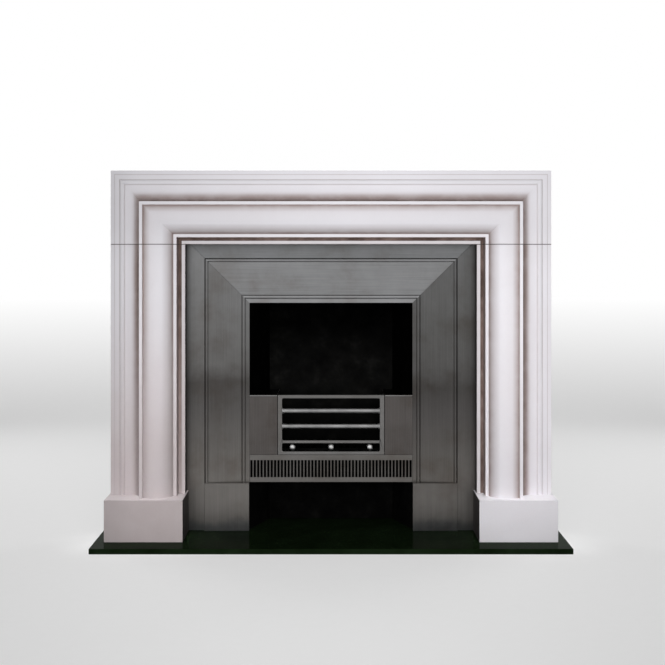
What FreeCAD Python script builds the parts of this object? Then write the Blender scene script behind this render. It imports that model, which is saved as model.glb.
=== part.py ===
import FreeCAD, Part
import math
import os
from types import SimpleNamespace

import Sketcher

# Stone bolection surround with a steel register grate, in millimetres.
# X runs to the right, Y runs into the wall, Z is up.
# The wall plane is Y = 0 and the underside of the hearth is Z = 0.

SIZES = {
    # Hearth
    "hearth_thickness": 16.0,
    "hearth_margin": 30.0,
    "hearth_step": 85.0,
    "back_hearth_margin": 37.5,
    # Foot blocks
    "block_height": 127.0,
    "block_step": 25.0,
    "block_overhang": 5.0,
    # Bolection moulding: widths, from the outer edge inwards
    "fascia_width": 12.0,
    "band_width": 16.0,
    "astragal_width": 16.0,
    "hollow_width": 55.0,
    "lip_overhang": 1.5,
    "lip_width": 10.5,
    "roll_width": 88.5,
    "fillet_width": 11.0,
    "recess_width": 10.5,
    "inner_fillet_width": 11.0,
    # Bolection moulding: projection of the outer edge from the wall, then each step from there
    "fascia_projection": 92.0,
    "band_step": 3.0,
    "astragal_rise": 5.0,
    "hollow_climb": 45.0,
    "hollow_sag": 17.5,
    "lip_step": 20.0,
    "roll_drop": 10.0,
    "roll_rise": 21.0,
    "roll_fall": 30.0,
    "fillet_drop": 4.0,
    "recess_depth": 52.0,
    "inner_fillet_rise": 10.0,
    # Rebate behind the stone for the register
    "rebate_depth": 20.0,
    "rebate_gap": 2.0,
    # Dowels in the stone joints
    "dowel_width": 12.0,
    "dowel_half_length": 40.0,
    "dowel_clearance": 0.2,
    "dowel_setback": 45.0,
    "dowel_spacing": 90.0,
    "dowel_edge": 70.0,
    # Register front
    "plate": 4.0,
    "frame_lip_width": 12.5,
    "inner_bead_width": 12.5,
    "panel_width": 104.5,
    "panel_splay": 12.0,
    "outer_bead_width": 12.0,
    "bead_base": 1.0,
    "bead_rise": 5.0,
    "slip_side_width": 55.0,
    "slip_top_width": 43.5,
    "slip_tuck": 12.0,
    "base_height": 150.0,
    "base_proud": 10.0,
    "upper_opening_height": 292.5,
    # Hobs
    "hob_front_width": 88.0,
    "hob_front_height": 184.5,
    "hob_top_thickness": 5.0,
    "hob_nosing": 3.0,
    "hob_ledge": 18.5,
    # Lift-out bar front
    "bar_front_width": 338.0,
    "bar_clearance": 1.5,
    "bar_frame_depth": 10.0,
    "bar_frame_proud": 2.0,
    "stile_width": 14.0,
    "rail_height": 10.5,
    "flat_bar_height": 9.0,
    "bar_pitch": 49.0,
    "window_radius": 5.0,
    "fire_bar_radius": 7.5,
    "fire_bar_flare": 3.0,
    "fire_bar_flare_length": 7.0,
    "ball_radius": 10.0,
    "ball_neck_length": 3.0,
    "ball_neck_radius": 3.5,
    "ball_inset": 32.3,
    # Bottom grate
    "grate_thickness": 14.0,
    "grate_side_clearance": 2.5,
    "grate_front_clearance": 2.5,
    "grate_back_clearance": 4.0,
    "grate_rim": 14.0,
    "grate_end": 29.5,
    "grate_slot_width": 11.0,
    "grate_slot_count": 14,
    # Fret and ash pan
    "fret_height": 86.0,
    "fret_thickness": 3.0,
    "fret_clearance": 0.5,
    "fret_foot_rail": 15.0,
    "fret_head_rail": 16.5,
    "fret_end": 5.6,
    "fret_slot_width": 6.6,
    "fret_slot_count": 48,
    "runner_rise": 3.5,
    "runner_ledge": 8.0,
    "pan_wall": 2.0,
    "pan_side_clearance": 4.0,
    "pan_back_clearance": 10.0,
    "pan_top_clearance": 17.0,
    # Fire chamber
    "chamber_depth": 160.0,
    "chamber_headroom": 5.0,
    "cheek_splay": 56.5,
    "cheek_thickness": 24.0,
    "fireback_thickness": 20.0,
    # Throat, hood and flue
    "throat_plate_thickness": 5.0,
    "throat_width": 236.0,
    "throat_depth": 80.0,
    "throat_setback": 30.0,
    "hood_inset": 8.5,
    "hood_front": 4.0,
    "hood_height": 200.0,
    "hood_shoulder": 8.0,
    "hood_wall": 3.0,
    "spigot_radius": 100.0,
    "spigot_wall": 3.0,
    "spigot_height": 100.0,
    "spigot_flange": 12.0,
    "spigot_flange_thickness": 3.0,
    # Register flap
    "flap_lap": 7.0,
    "flap_thickness": 4.0,
    "flap_clearance": 0.5,
    "flap_open_angle": 100.0,
    "knuckle_radius": 8.0,
    "rod_radius": 4.0,
    "rod_clearance": 0.3,
    "bracket_thickness": 5.0,
    "bracket_gap": 1.5,
    "bracket_width": 24.0,
    "eye_width": 26.0,
    "eye_drop": 24.0,
    "eye_hole_radius": 7.0,
    "eye_thickness": 5.0,
    "eye_inset": 12.0,
    # Fixing lugs
    "lug_thickness": 3.0,
    "lug_height": 40.0,
    "lug_tab": 30.0,
    "lug_wall_tab": 42.0,
    "lug_edge": 7.0,
    "lug_hole_radius": 3.5,
    "lug_rise": 280.0,
    "lug_drop": 124.0,
}

doc = FreeCAD.newDocument("Fireplace")
sheet = doc.addObject("Spreadsheet::Sheet", "Sizes")
for row, (alias, number) in enumerate(SIZES.items(), 1):
    sheet.set(f"A{row}", alias)
    sheet.set(f"B{row}", str(number))
    sheet.setAlias(f"B{row}", alias)
doc.recompute()


class Length:
    """A size with the sheet formula that gives it, so that sums of sizes stay bound to the sheet."""

    def __init__(self, value, formula):
        self.value = value
        self.formula = formula

    def __add__(self, other):
        return Length(self.value + number_of(other), f"({self.formula} + {formula_of(other)})")

    def __radd__(self, other):
        return self + other

    def __sub__(self, other):
        return Length(self.value - number_of(other), f"({self.formula} - {formula_of(other)})")

    def __rsub__(self, other):
        return -self + other

    def __mul__(self, other):
        return Length(self.value * number_of(other), f"({self.formula} * {formula_of(other)})")

    def __rmul__(self, other):
        return self * other

    def __truediv__(self, other):
        return Length(self.value / number_of(other), f"({self.formula} / {formula_of(other)})")

    def __neg__(self):
        return Length(-self.value, f"(0 - {self.formula})")


def number_of(length):
    return length.value if isinstance(length, Length) else float(length)


def formula_of(length):
    return length.formula if isinstance(length, Length) else f"({float(length)!r})"


def bind(target, path, length):
    target.setExpression(path, formula_of(length))


def place(target, x=0, y=0, z=0):
    """Ties an object's position to the sheet."""
    for axis, length in (("x", x), ("y", y), ("z", z)):
        bind(target, f"Placement.Base.{axis}", length)
    return target


def hand_in(target):
    """Lists an object as a piece of its own, under its label."""
    pieces.append(target)
    return target


pieces = []
size = SimpleNamespace(**{name: Length(float(number), f"Sizes.{name}") for name, number in SIZES.items()})
SIDES = (("left", -1), ("right", 1))


# Sketches: closed outlines of lines and arcs, with every corner tied to the sheet.

def plane_of(body, role):
    return next(feature for feature in body.Origin.OriginFeatures if feature.Role == role)


def arc_between(start, end, rise, bulges_right):
    """Arc over the chord from start to end; it runs from end to start where it bulges to the left."""
    chord = end - start
    radius = (chord.Length ** 2 / 4 + rise ** 2) / (2 * rise)
    left = FreeCAD.Vector(-chord.y, chord.x, 0).normalize()
    to_centre = left * (radius - rise) if bulges_right else left * (rise - radius)
    centre = (start + end) / 2 + to_centre
    first, last = (start, end) if bulges_right else (end, start)
    angles = [math.atan2(point.y - centre.y, point.x - centre.x) for point in (first, last)]
    circle = Part.Circle(centre, FreeCAD.Vector(0, 0, 1), radius)
    return Part.ArcOfCircle(circle, *angles)


def draw_circle(sketch, x, y, radius):
    centre = FreeCAD.Vector(number_of(x), number_of(y), 0)
    circle = sketch.addGeometry(Part.Circle(centre, FreeCAD.Vector(0, 0, 1), number_of(radius)), False)
    tie(sketch, "DistanceX", x, circle, 3)
    tie(sketch, "DistanceY", y, circle, 3)
    tie(sketch, "Radius", radius, circle)


def tie(sketch, kind, length, *where):
    """One driving dimension of a sketch, bound to the sheet."""
    index = sketch.addConstraint(Sketcher.Constraint(kind, *where, number_of(length)))
    bind(sketch, f"Constraints[{index}]", length)


def draw_outline(sketch, corners):
    """Corners are (x, y) or (x, y, rise); a rise bends the side that follows, outwards when positive."""
    points = [FreeCAD.Vector(number_of(corner[0]), number_of(corner[1]), 0) for corner in corners]
    next_points = points[1:] + points[:1]
    next_corners = corners[1:] + corners[:1]
    runs_left = sum(a.x * b.y - b.x * a.y for a, b in zip(points, next_points)) > 0
    sides, ends, radii = [], [], {}
    for index, (corner, next_corner) in enumerate(zip(corners, next_corners)):
        start, end = points[index], next_points[index]
        if len(corner) < 3:
            sides.append(Part.LineSegment(start, end))
            ends.append((1, 2))
            continue
        outwards = number_of(corner[2]) > 0
        rise = corner[2] if outwards else -corner[2]
        bulges_right = outwards == runs_left
        sides.append(arc_between(start, end, number_of(rise), bulges_right))
        ends.append((1, 2) if bulges_right else (2, 1))
        across = next_corner[0] - corner[0]
        along = next_corner[1] - corner[1]
        radii[index] = ((across * across + along * along) / 4 + rise * rise) / (rise * 2)
    base = sketch.GeometryCount
    sketch.addGeometry(sides, False)
    rules, lengths = [], []
    for index, corner in enumerate(corners):
        after = (index + 1) % len(corners)
        joint = (base + index, ends[index][1], base + after, ends[after][0])
        rules.append(Sketcher.Constraint("Coincident", *joint))
        lengths.append(None)
        for kind, length in (("DistanceX", corner[0]), ("DistanceY", corner[1])):
            rules.append(Sketcher.Constraint(kind, base + index, ends[index][0], number_of(length)))
            lengths.append(length)
    for index, radius in radii.items():
        rules.append(Sketcher.Constraint("Radius", base + index, number_of(radius)))
        lengths.append(radius)
    first = sketch.ConstraintCount
    sketch.addConstraint(rules)
    for index, length in enumerate(lengths, first):
        if length is not None:
            bind(sketch, f"Constraints[{index}]", length)


def draw_path(sketch, corners):
    """Open run of straight lines."""
    points = [FreeCAD.Vector(number_of(x), number_of(y), 0) for x, y in corners]
    for index, (start, end) in enumerate(zip(points, points[1:])):
        sketch.addGeometry(Part.LineSegment(start, end), False)
        if index:
            sketch.addConstraint(Sketcher.Constraint("Coincident", index - 1, 2, index, 1))
    last_line = len(corners) - 2
    for index, (x, y) in enumerate(corners):
        line, end = (index, 1) if index <= last_line else (last_line, 2)
        tie(sketch, "DistanceX", x, line, end)
        tie(sketch, "DistanceY", y, line, end)


def sketch_on(body, name, role, outlines, circles=()):
    sketch = body.newObject("Sketcher::SketchObject", name)
    sketch.AttachmentSupport = [(plane_of(body, role), "")]
    sketch.MapMode = "FlatFace"
    for corners in outlines:
        draw_outline(sketch, corners)
    for circle in circles:
        draw_circle(sketch, *circle)
    return sketch


def rectangle(x0, x1, y0, y1):
    return [(x0, y0), (x1, y0), (x1, y1), (x0, y1)]


def end_rise(width):
    """Bow of a rounded end, just under a half circle."""
    return width * 0.45


def rounded_rectangle(x0, x1, y0, y1, radius):
    rise = radius * (1 - math.sqrt(0.5))
    return [(x0 + radius, y0), (x1 - radius, y0, rise), (x1, y0 + radius), (x1, y1 - radius, rise),
            (x1 - radius, y1), (x0 + radius, y1, rise), (x0, y1 - radius), (x0, y0 + radius, rise)]


# Bodies: an outline padded or turned, then cut.

def pad(name, role, outlines, length, symmetric=False):
    """Body padded from an origin plane: up from XY, to the viewer from XZ, to the right from YZ."""
    body = doc.addObject("PartDesign::Body", name)
    feature = body.newObject("PartDesign::Pad", f"{name}_pad")
    feature.Profile = sketch_on(body, f"{name}_outline", role, outlines)
    bind(feature, "Length", length)
    if symmetric:
        feature.SideType = "Symmetric"
    body.Tip = feature
    return body


def turn(name, outline, axis):
    """Body turned from half its section on the XZ plane."""
    body = doc.addObject("PartDesign::Body", name)
    feature = body.newObject("PartDesign::Revolution", f"{name}_turned")
    feature.Profile = sketch_on(body, f"{name}_section", "XZ_Plane", [outline])
    feature.ReferenceAxis = (feature.Profile[0], [axis])
    feature.Angle = 360.0
    body.Tip = feature
    return body


def cut_through(body, name, role, outlines, circles=()):
    feature = body.newObject("PartDesign::Pocket", name)
    feature.Profile = sketch_on(body, f"{name}_outline", role, outlines, circles)
    feature.Type = "ThroughAll"
    feature.SideType = "Symmetric"
    body.Tip = feature
    return feature


def sink(body, name, outlines, level, depth, upwards=False):
    """Pocket from a level of the body, downwards unless told otherwise."""
    feature = body.newObject("PartDesign::Pocket", name)
    sketch = sketch_on(body, f"{name}_outline", "XY_Plane", outlines)
    bind(sketch, "AttachmentOffset.Base.z", level)
    feature.Profile = sketch
    bind(feature, "Length", depth)
    feature.Reversed = upwards
    body.Tip = feature


def row_of_slots(body, name, role, width, half_row, count, low, high):
    """Row of square-ended slots along X, from one slot and a pattern."""
    outline = rectangle(-half_row - width / 2, width / 2 - half_row, low, high)
    slot = cut_through(body, f"{name}_first", role, [outline])
    row = body.newObject("PartDesign::LinearPattern", name)
    row.Originals = [slot]
    row.Direction = (slot.Profile[0], ["H_Axis"])
    bind(row, "Length", half_row * 2)
    bind(row, "Occurrences", count)
    body.Tip = row


def box(name, x, y, z):
    """Plain plate between two positions on each axis."""
    plate = doc.addObject("Part::Box", name)
    for side, (low, high) in (("Length", x), ("Width", y), ("Height", z)):
        bind(plate, side, high - low)
    return place(plate, x[0], y[0], z[0])


def cylinder(name, radius, height):
    round_bar = doc.addObject("Part::Cylinder", name)
    bind(round_bar, "Radius", radius)
    bind(round_bar, "Height", height)
    return round_bar


def cross_cylinder(name, radius, height):
    """Round bar along X."""
    round_bar = cylinder(name, radius, height)
    round_bar.Placement.Rotation = FreeCAD.Rotation(FreeCAD.Vector(0, 1, 0), 90)
    return round_bar


def combine(kind, name, first, second):
    result = doc.addObject(kind, name)
    result.Base = first
    result.Tool = second
    return result


def group(name, solids):
    compound = doc.addObject("Part::Compound", name)
    compound.Links = solids
    return compound


def across(side, inner, outer):
    """Low and high X of a plate that lies between two distances from the middle."""
    return sorted((side * inner, side * outer), key=number_of)


# Shared places, worked out from the bars outwards.

register_plane = -size.rebate_depth
frame_plane = register_plane + size.panel_splay
chamber_front = frame_plane + size.plate
chamber_back = chamber_front + size.chamber_depth
plate_back = chamber_back + size.fireback_thickness

bar_half = size.bar_front_width / 2
hob_inner = bar_half + size.bar_clearance
half_fire = hob_inner + size.hob_front_width
half_back = half_fire - size.cheek_splay
inner_frame_width = size.frame_lip_width + size.inner_bead_width
panel_outer = inner_frame_width + size.panel_width
bead_outer = panel_outer + size.outer_bead_width
half_opening = half_fire + bead_outer + size.slip_side_width
slip_edge = half_opening + size.slip_tuck

hearth_top = size.hearth_thickness
block_top = hearth_top + size.block_height
base_top = hearth_top + size.base_height
fret_bottom = base_top + size.fret_clearance
fret_top = fret_bottom + size.fret_height
hob_bottom = fret_top + size.fret_clearance
hob_floor_top = hob_bottom + size.plate
hob_front_top = hob_bottom + size.hob_front_height
hob_top = hob_front_top + size.hob_top_thickness
fire_top = hob_top + size.upper_opening_height
chamber_top = fire_top + size.chamber_headroom
throat_top = chamber_top + size.throat_plate_thickness
soffit = fire_top + bead_outer + size.slip_top_width
slip_head = soffit + size.slip_tuck

rebate_width = size.slip_tuck + size.rebate_gap
hollow_start = size.fascia_width + size.band_width + size.astragal_width
hollow_end = hollow_start + size.hollow_width
lip_start = hollow_end - size.lip_overhang
roll_start = lip_start + size.lip_width
roll_end = roll_start + size.roll_width
recess_start = roll_end + size.fillet_width
recess_end = recess_start + size.recess_width
moulding_width = recess_end + size.inner_fillet_width
half_outer = half_opening + moulding_width

band_projection = size.fascia_projection + size.band_step
hollow_projection = band_projection + size.hollow_climb
lip_projection = hollow_projection + size.lip_step
roll_start_projection = lip_projection - size.roll_drop
roll_end_projection = roll_start_projection - size.roll_fall
fillet_projection = roll_end_projection - size.fillet_drop
recess_projection = fillet_projection - size.recess_depth
inner_fillet_projection = recess_projection + size.inner_fillet_rise
block_depth = lip_projection + size.block_step


# Hearth: a front slab that carries the surround, and a back slab under the fire.

def build_hearth():
    half = half_outer + size.block_overhang + size.hearth_margin
    hand_in(box("hearth_slab", (-half, half), (-block_depth - size.hearth_step, 0), (0, hearth_top)))
    half = half_fire + size.cheek_thickness + size.back_hearth_margin
    hand_in(box("back_hearth", (-half, half), (0, plate_back + size.back_hearth_margin), (0, hearth_top)))


# Stone surround: foot blocks, jambs and header of one moulding, joined by square slate dowels.

def moulding(side):
    """Bolection section of one side, in plan."""
    astragal_start = size.fascia_width + size.band_width
    rebate_start = moulding_width - rebate_width
    section = [
        (0, 0),
        (0, size.fascia_projection),
        (size.fascia_width, size.fascia_projection),
        (size.fascia_width, band_projection),
        (astragal_start, band_projection, size.astragal_rise),
        (hollow_start, band_projection, -size.hollow_sag),
        (hollow_end, hollow_projection),
        (lip_start, hollow_projection),
        (lip_start, lip_projection),
        (roll_start, lip_projection),
        (roll_start, roll_start_projection, size.roll_rise),
        (roll_end, roll_end_projection),
        (roll_end, fillet_projection),
        (recess_start, fillet_projection),
        (recess_start, recess_projection),
        (recess_end, recess_projection),
        (recess_end, inner_fillet_projection),
        (moulding_width, inner_fillet_projection),
        (moulding_width, size.rebate_depth),
        (rebate_start, size.rebate_depth),
        (rebate_start, 0),
    ]
    return [(side * (half_outer - inset), -projection, *rise) for inset, projection, *rise in section]


def dowel_places(side):
    first = half_outer - size.dowel_edge
    return [(side * x, -size.dowel_setback) for x in (first, first - size.dowel_spacing)]


def dowel_holes(side):
    half = size.dowel_width / 2 + size.dowel_clearance
    return [rectangle(x - half, x + half, y - half, y + half) for x, y in dowel_places(side)]


hole_depth = size.dowel_half_length + size.dowel_clearance


def build_foot_block(word, side):
    inner = half_opening - size.block_overhang
    outer = half_outer + size.block_overhang
    rebate = half_opening + rebate_width
    plan = [(inner, -block_depth), (outer, -block_depth), (outer, 0), (rebate, 0), (rebate, register_plane),
            (inner, register_plane)]
    block = pad(f"foot_block_{word}", "XY_Plane", [[(side * x, y) for x, y in plan]], size.block_height)
    sink(block, f"foot_block_{word}_dowel_holes", dowel_holes(side), size.block_height, hole_depth)
    hand_in(place(block, z=hearth_top))


def build_jamb(word, side):
    length = soffit - block_top
    jamb = pad(f"jamb_{word}", "XY_Plane", [moulding(side)], length)
    sink(jamb, f"jamb_{word}_foot_holes", dowel_holes(side), 0, hole_depth, upwards=True)
    sink(jamb, f"jamb_{word}_head_holes", dowel_holes(side), length, hole_depth)
    hand_in(place(jamb, z=block_top))


def build_header():
    """The moulding run up, across and down with mitred corners, then sawn off level with the soffit."""
    body = doc.addObject("PartDesign::Body", "header")
    tail = moulding_width
    section = sketch_on(body, "header_section", "XY_Plane", [moulding(-1)])
    bind(section, "AttachmentOffset.Base.z", -tail)
    path = sketch_on(body, "header_path", "XZ_Plane", [])
    draw_path(path, [(-half_outer, -tail), (-half_outer, moulding_width), (half_outer, moulding_width),
                     (half_outer, -tail)])
    run = body.newObject("PartDesign::AdditivePipe", "header_run")
    run.Profile = section
    run.Spine = path
    run.Transition = "Right corner"
    body.Tip = run
    below = rectangle(-half_outer * 2, half_outer * 2, -tail * 2, 0)
    cut_through(body, "header_saw_cut", "XZ_Plane", [below])
    sink(body, "header_dowel_holes", dowel_holes(-1) + dowel_holes(1), 0, hole_depth, upwards=True)
    hand_in(place(body, z=soffit))


def build_dowels():
    dowels = []
    half = size.dowel_width / 2
    for word, side in SIDES:
        for joint, level in (("foot", block_top), ("head", soffit)):
            for number, (x, y) in enumerate(dowel_places(side), 1):
                name = f"dowel_{joint}_{word}_{number}"
                length = (level - size.dowel_half_length, level + size.dowel_half_length)
                dowels.append(box(name, (x - half, x + half), (y - half, y + half), length))
    hand_in(group("stone_dowels", dowels))


def build_surround():
    for word, side in SIDES:
        build_foot_block(word, side)
        build_jamb(word, side)
    build_header()
    build_dowels()


# Register front: bars and plates cut to a mitre round the fire opening.
# A section is given as (reach, forward): outwards from the fire opening's edge, and to the viewer
# from the register plane.

def mitre_reach(section):
    """Reaches just inside and outside the section, so that the saw clears it."""
    reaches = sorted((corner[0] for corner in section), key=number_of)
    return reaches[0] - size.plate, reaches[-1] + size.plate


def upright(name, side, section, foot, head):
    """One side member, mitred at its top."""
    plan = [(side * (half_fire + reach), register_plane - forward, *rise)
            for reach, forward, *rise in section]
    body = pad(name, "XY_Plane", [plan], head - foot)
    inner, outer = mitre_reach(section)
    near = side * (half_fire + inner)
    far = side * (half_fire + outer)
    low = fire_top + inner - foot
    high = fire_top + outer - foot
    cut_through(body, f"{name}_mitre", "XZ_Plane", [[(near, low), (far, high), (near, high)]])
    hand_in(place(body, z=foot))


def head_member(name, section):
    """The top member, mitred at both ends."""
    profile = [(register_plane - forward, fire_top + reach, *rise) for reach, forward, *rise in section]
    inner, outer = mitre_reach(section)
    near = half_fire + inner
    far = half_fire + outer
    low = fire_top + inner
    high = fire_top + outer
    body = pad(name, "YZ_Plane", [profile], far * 2, symmetric=True)
    mitres = [[(side * near, low), (side * far, high), (side * far, low)] for word, side in SIDES]
    cut_through(body, f"{name}_mitres", "XZ_Plane", mitres)
    hand_in(body)


def bead_front(start, end, front):
    """Front of a half-round bead on a low square base, from its outer edge to its inner edge."""
    return [(end, front + size.bead_base, size.bead_rise), (start, front + size.bead_base)]


def slip_section(reach):
    return [(panel_outer, 0), (reach, 0), (reach, -size.plate), (panel_outer, -size.plate)]


def build_register():
    recess = -size.panel_splay
    back = recess - size.plate
    outer_bead = [(panel_outer, 0), (bead_outer, 0), *bead_front(panel_outer, bead_outer, 0)]
    panel = [(panel_outer, 0), (inner_frame_width, recess), (inner_frame_width, back),
             (panel_outer, -size.plate)]
    inner_frame = [(0, back), (inner_frame_width, back),
                   *bead_front(size.frame_lip_width, inner_frame_width, recess),
                   (size.frame_lip_width, recess), (0, recess)]
    base = [(0, back), (panel_outer, back), (panel_outer, 0), (bead_outer, 0), (bead_outer, size.base_proud),
            (0, size.base_proud)]
    for word, side in SIDES:
        upright(f"slip_{word}", side, slip_section(slip_edge - half_fire), hearth_top, slip_head)
        upright(f"outer_bead_{word}", side, outer_bead, base_top, fire_top + bead_outer)
        upright(f"panel_{word}", side, panel, base_top, fire_top + panel_outer)
        upright(f"inner_frame_{word}", side, inner_frame, base_top, fire_top + inner_frame_width)
        plan = [(side * (half_fire + reach), register_plane - forward) for reach, forward in base]
        hand_in(place(pad(f"base_block_{word}", "XY_Plane", [plan], size.base_height), z=hearth_top))
    head_member("slip_top", slip_section(slip_head - fire_top))
    head_member("outer_bead_top", outer_bead)
    head_member("panel_top", panel)
    head_member("inner_frame_top", inner_frame)


# Hobs: a steel front, a top plate with a nosing, a side plate to the fire and a floor with a ledge.

def to_cheek(side, inner, front_corners=()):
    """Plan of a plate from a straight inner edge to the splayed cheek."""
    front = front_corners or [(inner, chamber_front)]
    corners = [*front, (half_fire, chamber_front), (half_back, chamber_back), (inner, chamber_back)]
    return [(side * x, y) for x, y in corners]


def build_hobs():
    nosing = frame_plane - size.hob_nosing
    for word, side in SIDES:
        hand_in(box(f"hob_front_{word}", across(side, hob_inner, half_fire), (frame_plane, chamber_front),
                    (hob_bottom, hob_front_top)))
        plan = to_cheek(side, hob_inner, [(hob_inner, nosing), (half_fire, nosing)])
        hand_in(place(pad(f"hob_top_{word}", "XY_Plane", [plan], size.hob_top_thickness), z=hob_front_top))
        hand_in(box(f"hob_side_{word}", across(side, hob_inner, hob_inner + size.plate),
                    (chamber_front, chamber_back), (hob_floor_top, hob_front_top)))
        plan = to_cheek(side, hob_inner - size.hob_ledge)
        hand_in(place(pad(f"hob_floor_{word}", "XY_Plane", [plan], size.plate), z=hob_bottom))


# Bar front: a flat frame with round-cornered windows, two turned fire bars and three ball spindles.
# A rebate along its foot drops over the hob ledges.

bar_inner = bar_half - size.stile_width
bar_back = frame_plane - size.bar_frame_proud + size.bar_frame_depth
bar_centre = bar_back - size.bar_frame_depth / 2
bar_frame_height = hob_top - hob_bottom
ball_window_height = (size.ball_radius + size.ball_neck_length) * 2
ball_window_top = size.rail_height + ball_window_height
fire_window_bottom = ball_window_top + size.flat_bar_height
fire_window_top = bar_frame_height - size.rail_height


def build_fire_bar(name, level):
    """Round bar with coned ends that meet the stiles."""
    shoulder = bar_inner - size.fire_bar_flare_length
    radius = size.fire_bar_radius
    end_radius = radius + size.fire_bar_flare
    half_section = [(-bar_inner, 0), (bar_inner, 0), (bar_inner, end_radius), (shoulder, radius),
                    (-shoulder, radius), (-bar_inner, end_radius)]
    hand_in(place(turn(name, half_section, "H_Axis"), y=bar_centre, z=hob_bottom + level))


def build_ball_spindles():
    spindles = []
    bottom = hob_bottom + size.rail_height
    for number, x in enumerate((size.ball_inset - bar_inner, 0, bar_inner - size.ball_inset), 1):
        ball = doc.addObject("Part::Sphere", f"ball_{number}")
        bind(ball, "Radius", size.ball_radius)
        place(ball, x, bar_centre, bottom + ball_window_height / 2)
        neck = cylinder(f"ball_{number}_neck", size.ball_neck_radius, ball_window_height)
        place(neck, x, bar_centre, bottom)
        spindles.append(combine("Part::Fuse", f"ball_{number}_spindle", ball, neck))
    hand_in(group("ball_spindles", spindles))


def build_bar_front():
    outside = rectangle(-bar_half, bar_half, 0, bar_frame_height)
    windows = [rounded_rectangle(-bar_inner, bar_inner, low, high, size.window_radius)
               for low, high in ((size.rail_height, ball_window_top), (fire_window_bottom, fire_window_top))]
    frame = pad("bar_frame", "XZ_Plane", [outside, *windows], size.bar_frame_depth)
    ledge_front = chamber_front - size.bar_clearance - bar_back
    ledge_rebate = rectangle(ledge_front, size.plate, -size.plate, size.plate)
    cut_through(frame, "bar_frame_rebate", "YZ_Plane", [ledge_rebate])
    hand_in(place(frame, y=bar_back, z=hob_bottom))
    flat_bar_level = ball_window_top + size.flat_bar_height / 2
    build_fire_bar("fire_bar_middle", flat_bar_level + size.bar_pitch)
    build_fire_bar("fire_bar_upper", flat_bar_level + size.bar_pitch * 2)
    build_ball_spindles()


# Bottom grate: a cast slab with long slots, resting on the hob ledges.

def build_bottom_grate():
    half = hob_inner - size.grate_side_clearance
    front = bar_centre + size.ball_radius + size.grate_front_clearance
    back = chamber_back - size.grate_back_clearance
    grate = pad("bottom_grate", "XY_Plane", [rectangle(-half, half, front, back)], size.grate_thickness)
    row_of_slots(grate, "grate_slots", "XY_Plane", size.grate_slot_width, half - size.grate_end,
                 size.grate_slot_count, front + size.grate_rim, back - size.grate_rim)
    hand_in(place(grate, z=hob_floor_top))


# Ash drawer: the slotted fret with the pan behind it, on two runners along the cheeks.
# The pan is open in front, where the foot of the fret keeps the ash in and the slots let air through.

runner_bottom = fret_bottom + size.runner_rise
runner_top = runner_bottom + size.plate
fret_back = frame_plane + size.fret_thickness
pan_half = half_back - size.pan_side_clearance


def build_ash_drawer():
    half = half_fire - size.fret_clearance
    fret = pad("fret", "XZ_Plane", [rectangle(-half, half, 0, size.fret_height)], size.fret_thickness)
    row_of_slots(fret, "fret_slots", "XZ_Plane", size.fret_slot_width, half - size.fret_end,
                 size.fret_slot_count, size.fret_foot_rail, size.fret_height - size.fret_head_rail)
    hand_in(place(fret, y=fret_back, z=fret_bottom))

    pan_back = chamber_back - size.pan_back_clearance
    pan_height = hob_bottom - size.pan_top_clearance - runner_top
    wall = size.pan_wall
    pan = pad("ash_pan", "XY_Plane", [rectangle(-pan_half, pan_half, fret_back, pan_back)], pan_height)
    inside = rectangle(wall - pan_half, pan_half - wall, fret_back - wall, pan_back - wall)
    sink(pan, "ash_pan_inside", [inside], pan_height, pan_height - wall)
    hand_in(place(pan, z=runner_top))

    for word, side in SIDES:
        plan = to_cheek(side, pan_half - size.runner_ledge)
        hand_in(place(pad(f"ash_runner_{word}", "XY_Plane", [plan], size.plate), z=runner_bottom))


# Fire chamber: a flat back and two splayed cheeks that stand on the hearth.

def build_chamber():
    outer_back = half_back + size.cheek_thickness
    outer_front = half_fire + size.cheek_thickness
    hand_in(box("fireback", (-outer_back, outer_back), (chamber_back, plate_back), (hearth_top, chamber_top)))
    for word, side in SIDES:
        plan = [(side * half_fire, chamber_front), (side * outer_front, chamber_front),
                (side * outer_back, chamber_back), (side * half_back, chamber_back)]
        hand_in(place(pad(f"cheek_{word}", "XY_Plane", [plan], chamber_top - hearth_top), z=hearth_top))


# Smoke way: throat plate, hood and flue spigot.

throat_back = chamber_back - size.throat_setback
throat_front = throat_back - size.throat_depth
half_throat = size.throat_width / 2
spigot_bore = size.spigot_radius - size.spigot_wall
flange_radius = size.spigot_radius + size.spigot_flange
hood_top = throat_top + size.hood_height
half_hood_top = flange_radius + size.hood_shoulder
spigot_centre = size.hood_front + half_hood_top


def hood_block(name, inset, lowered):
    """Frustum from the throat plate to the flue; its own Y runs up and its own Z runs to the viewer."""
    frustum = doc.addObject("Part::Wedge", name)
    frustum.Placement.Rotation = FreeCAD.Rotation(FreeCAD.Vector(1, 0, 0), 90)
    half_base = half_fire - size.hood_inset - inset
    half_top = half_hood_top - inset
    for path, length in (("Xmin", -half_base), ("Xmax", half_base), ("X2min", -half_top), ("X2max", half_top),
                         ("Ymin", 0 - lowered), ("Ymax", size.hood_height - lowered),
                         ("Zmin", inset - plate_back), ("Zmax", -size.hood_front - inset),
                         ("Z2min", -spigot_centre - half_top), ("Z2max", half_top - spigot_centre)):
        bind(frustum, path, length)
    return place(frustum, z=throat_top)


def build_spigot():
    """Turned collar with a flange that sits on the hood."""
    outer = size.spigot_radius
    flange_top = size.spigot_flange_thickness
    section = [(spigot_bore, 0), (flange_radius, 0), (flange_radius, flange_top), (outer, flange_top),
               (outer, size.spigot_height), (spigot_bore, size.spigot_height)]
    hand_in(place(turn("flue_spigot", section, "V_Axis"), y=spigot_centre, z=hood_top))


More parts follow.
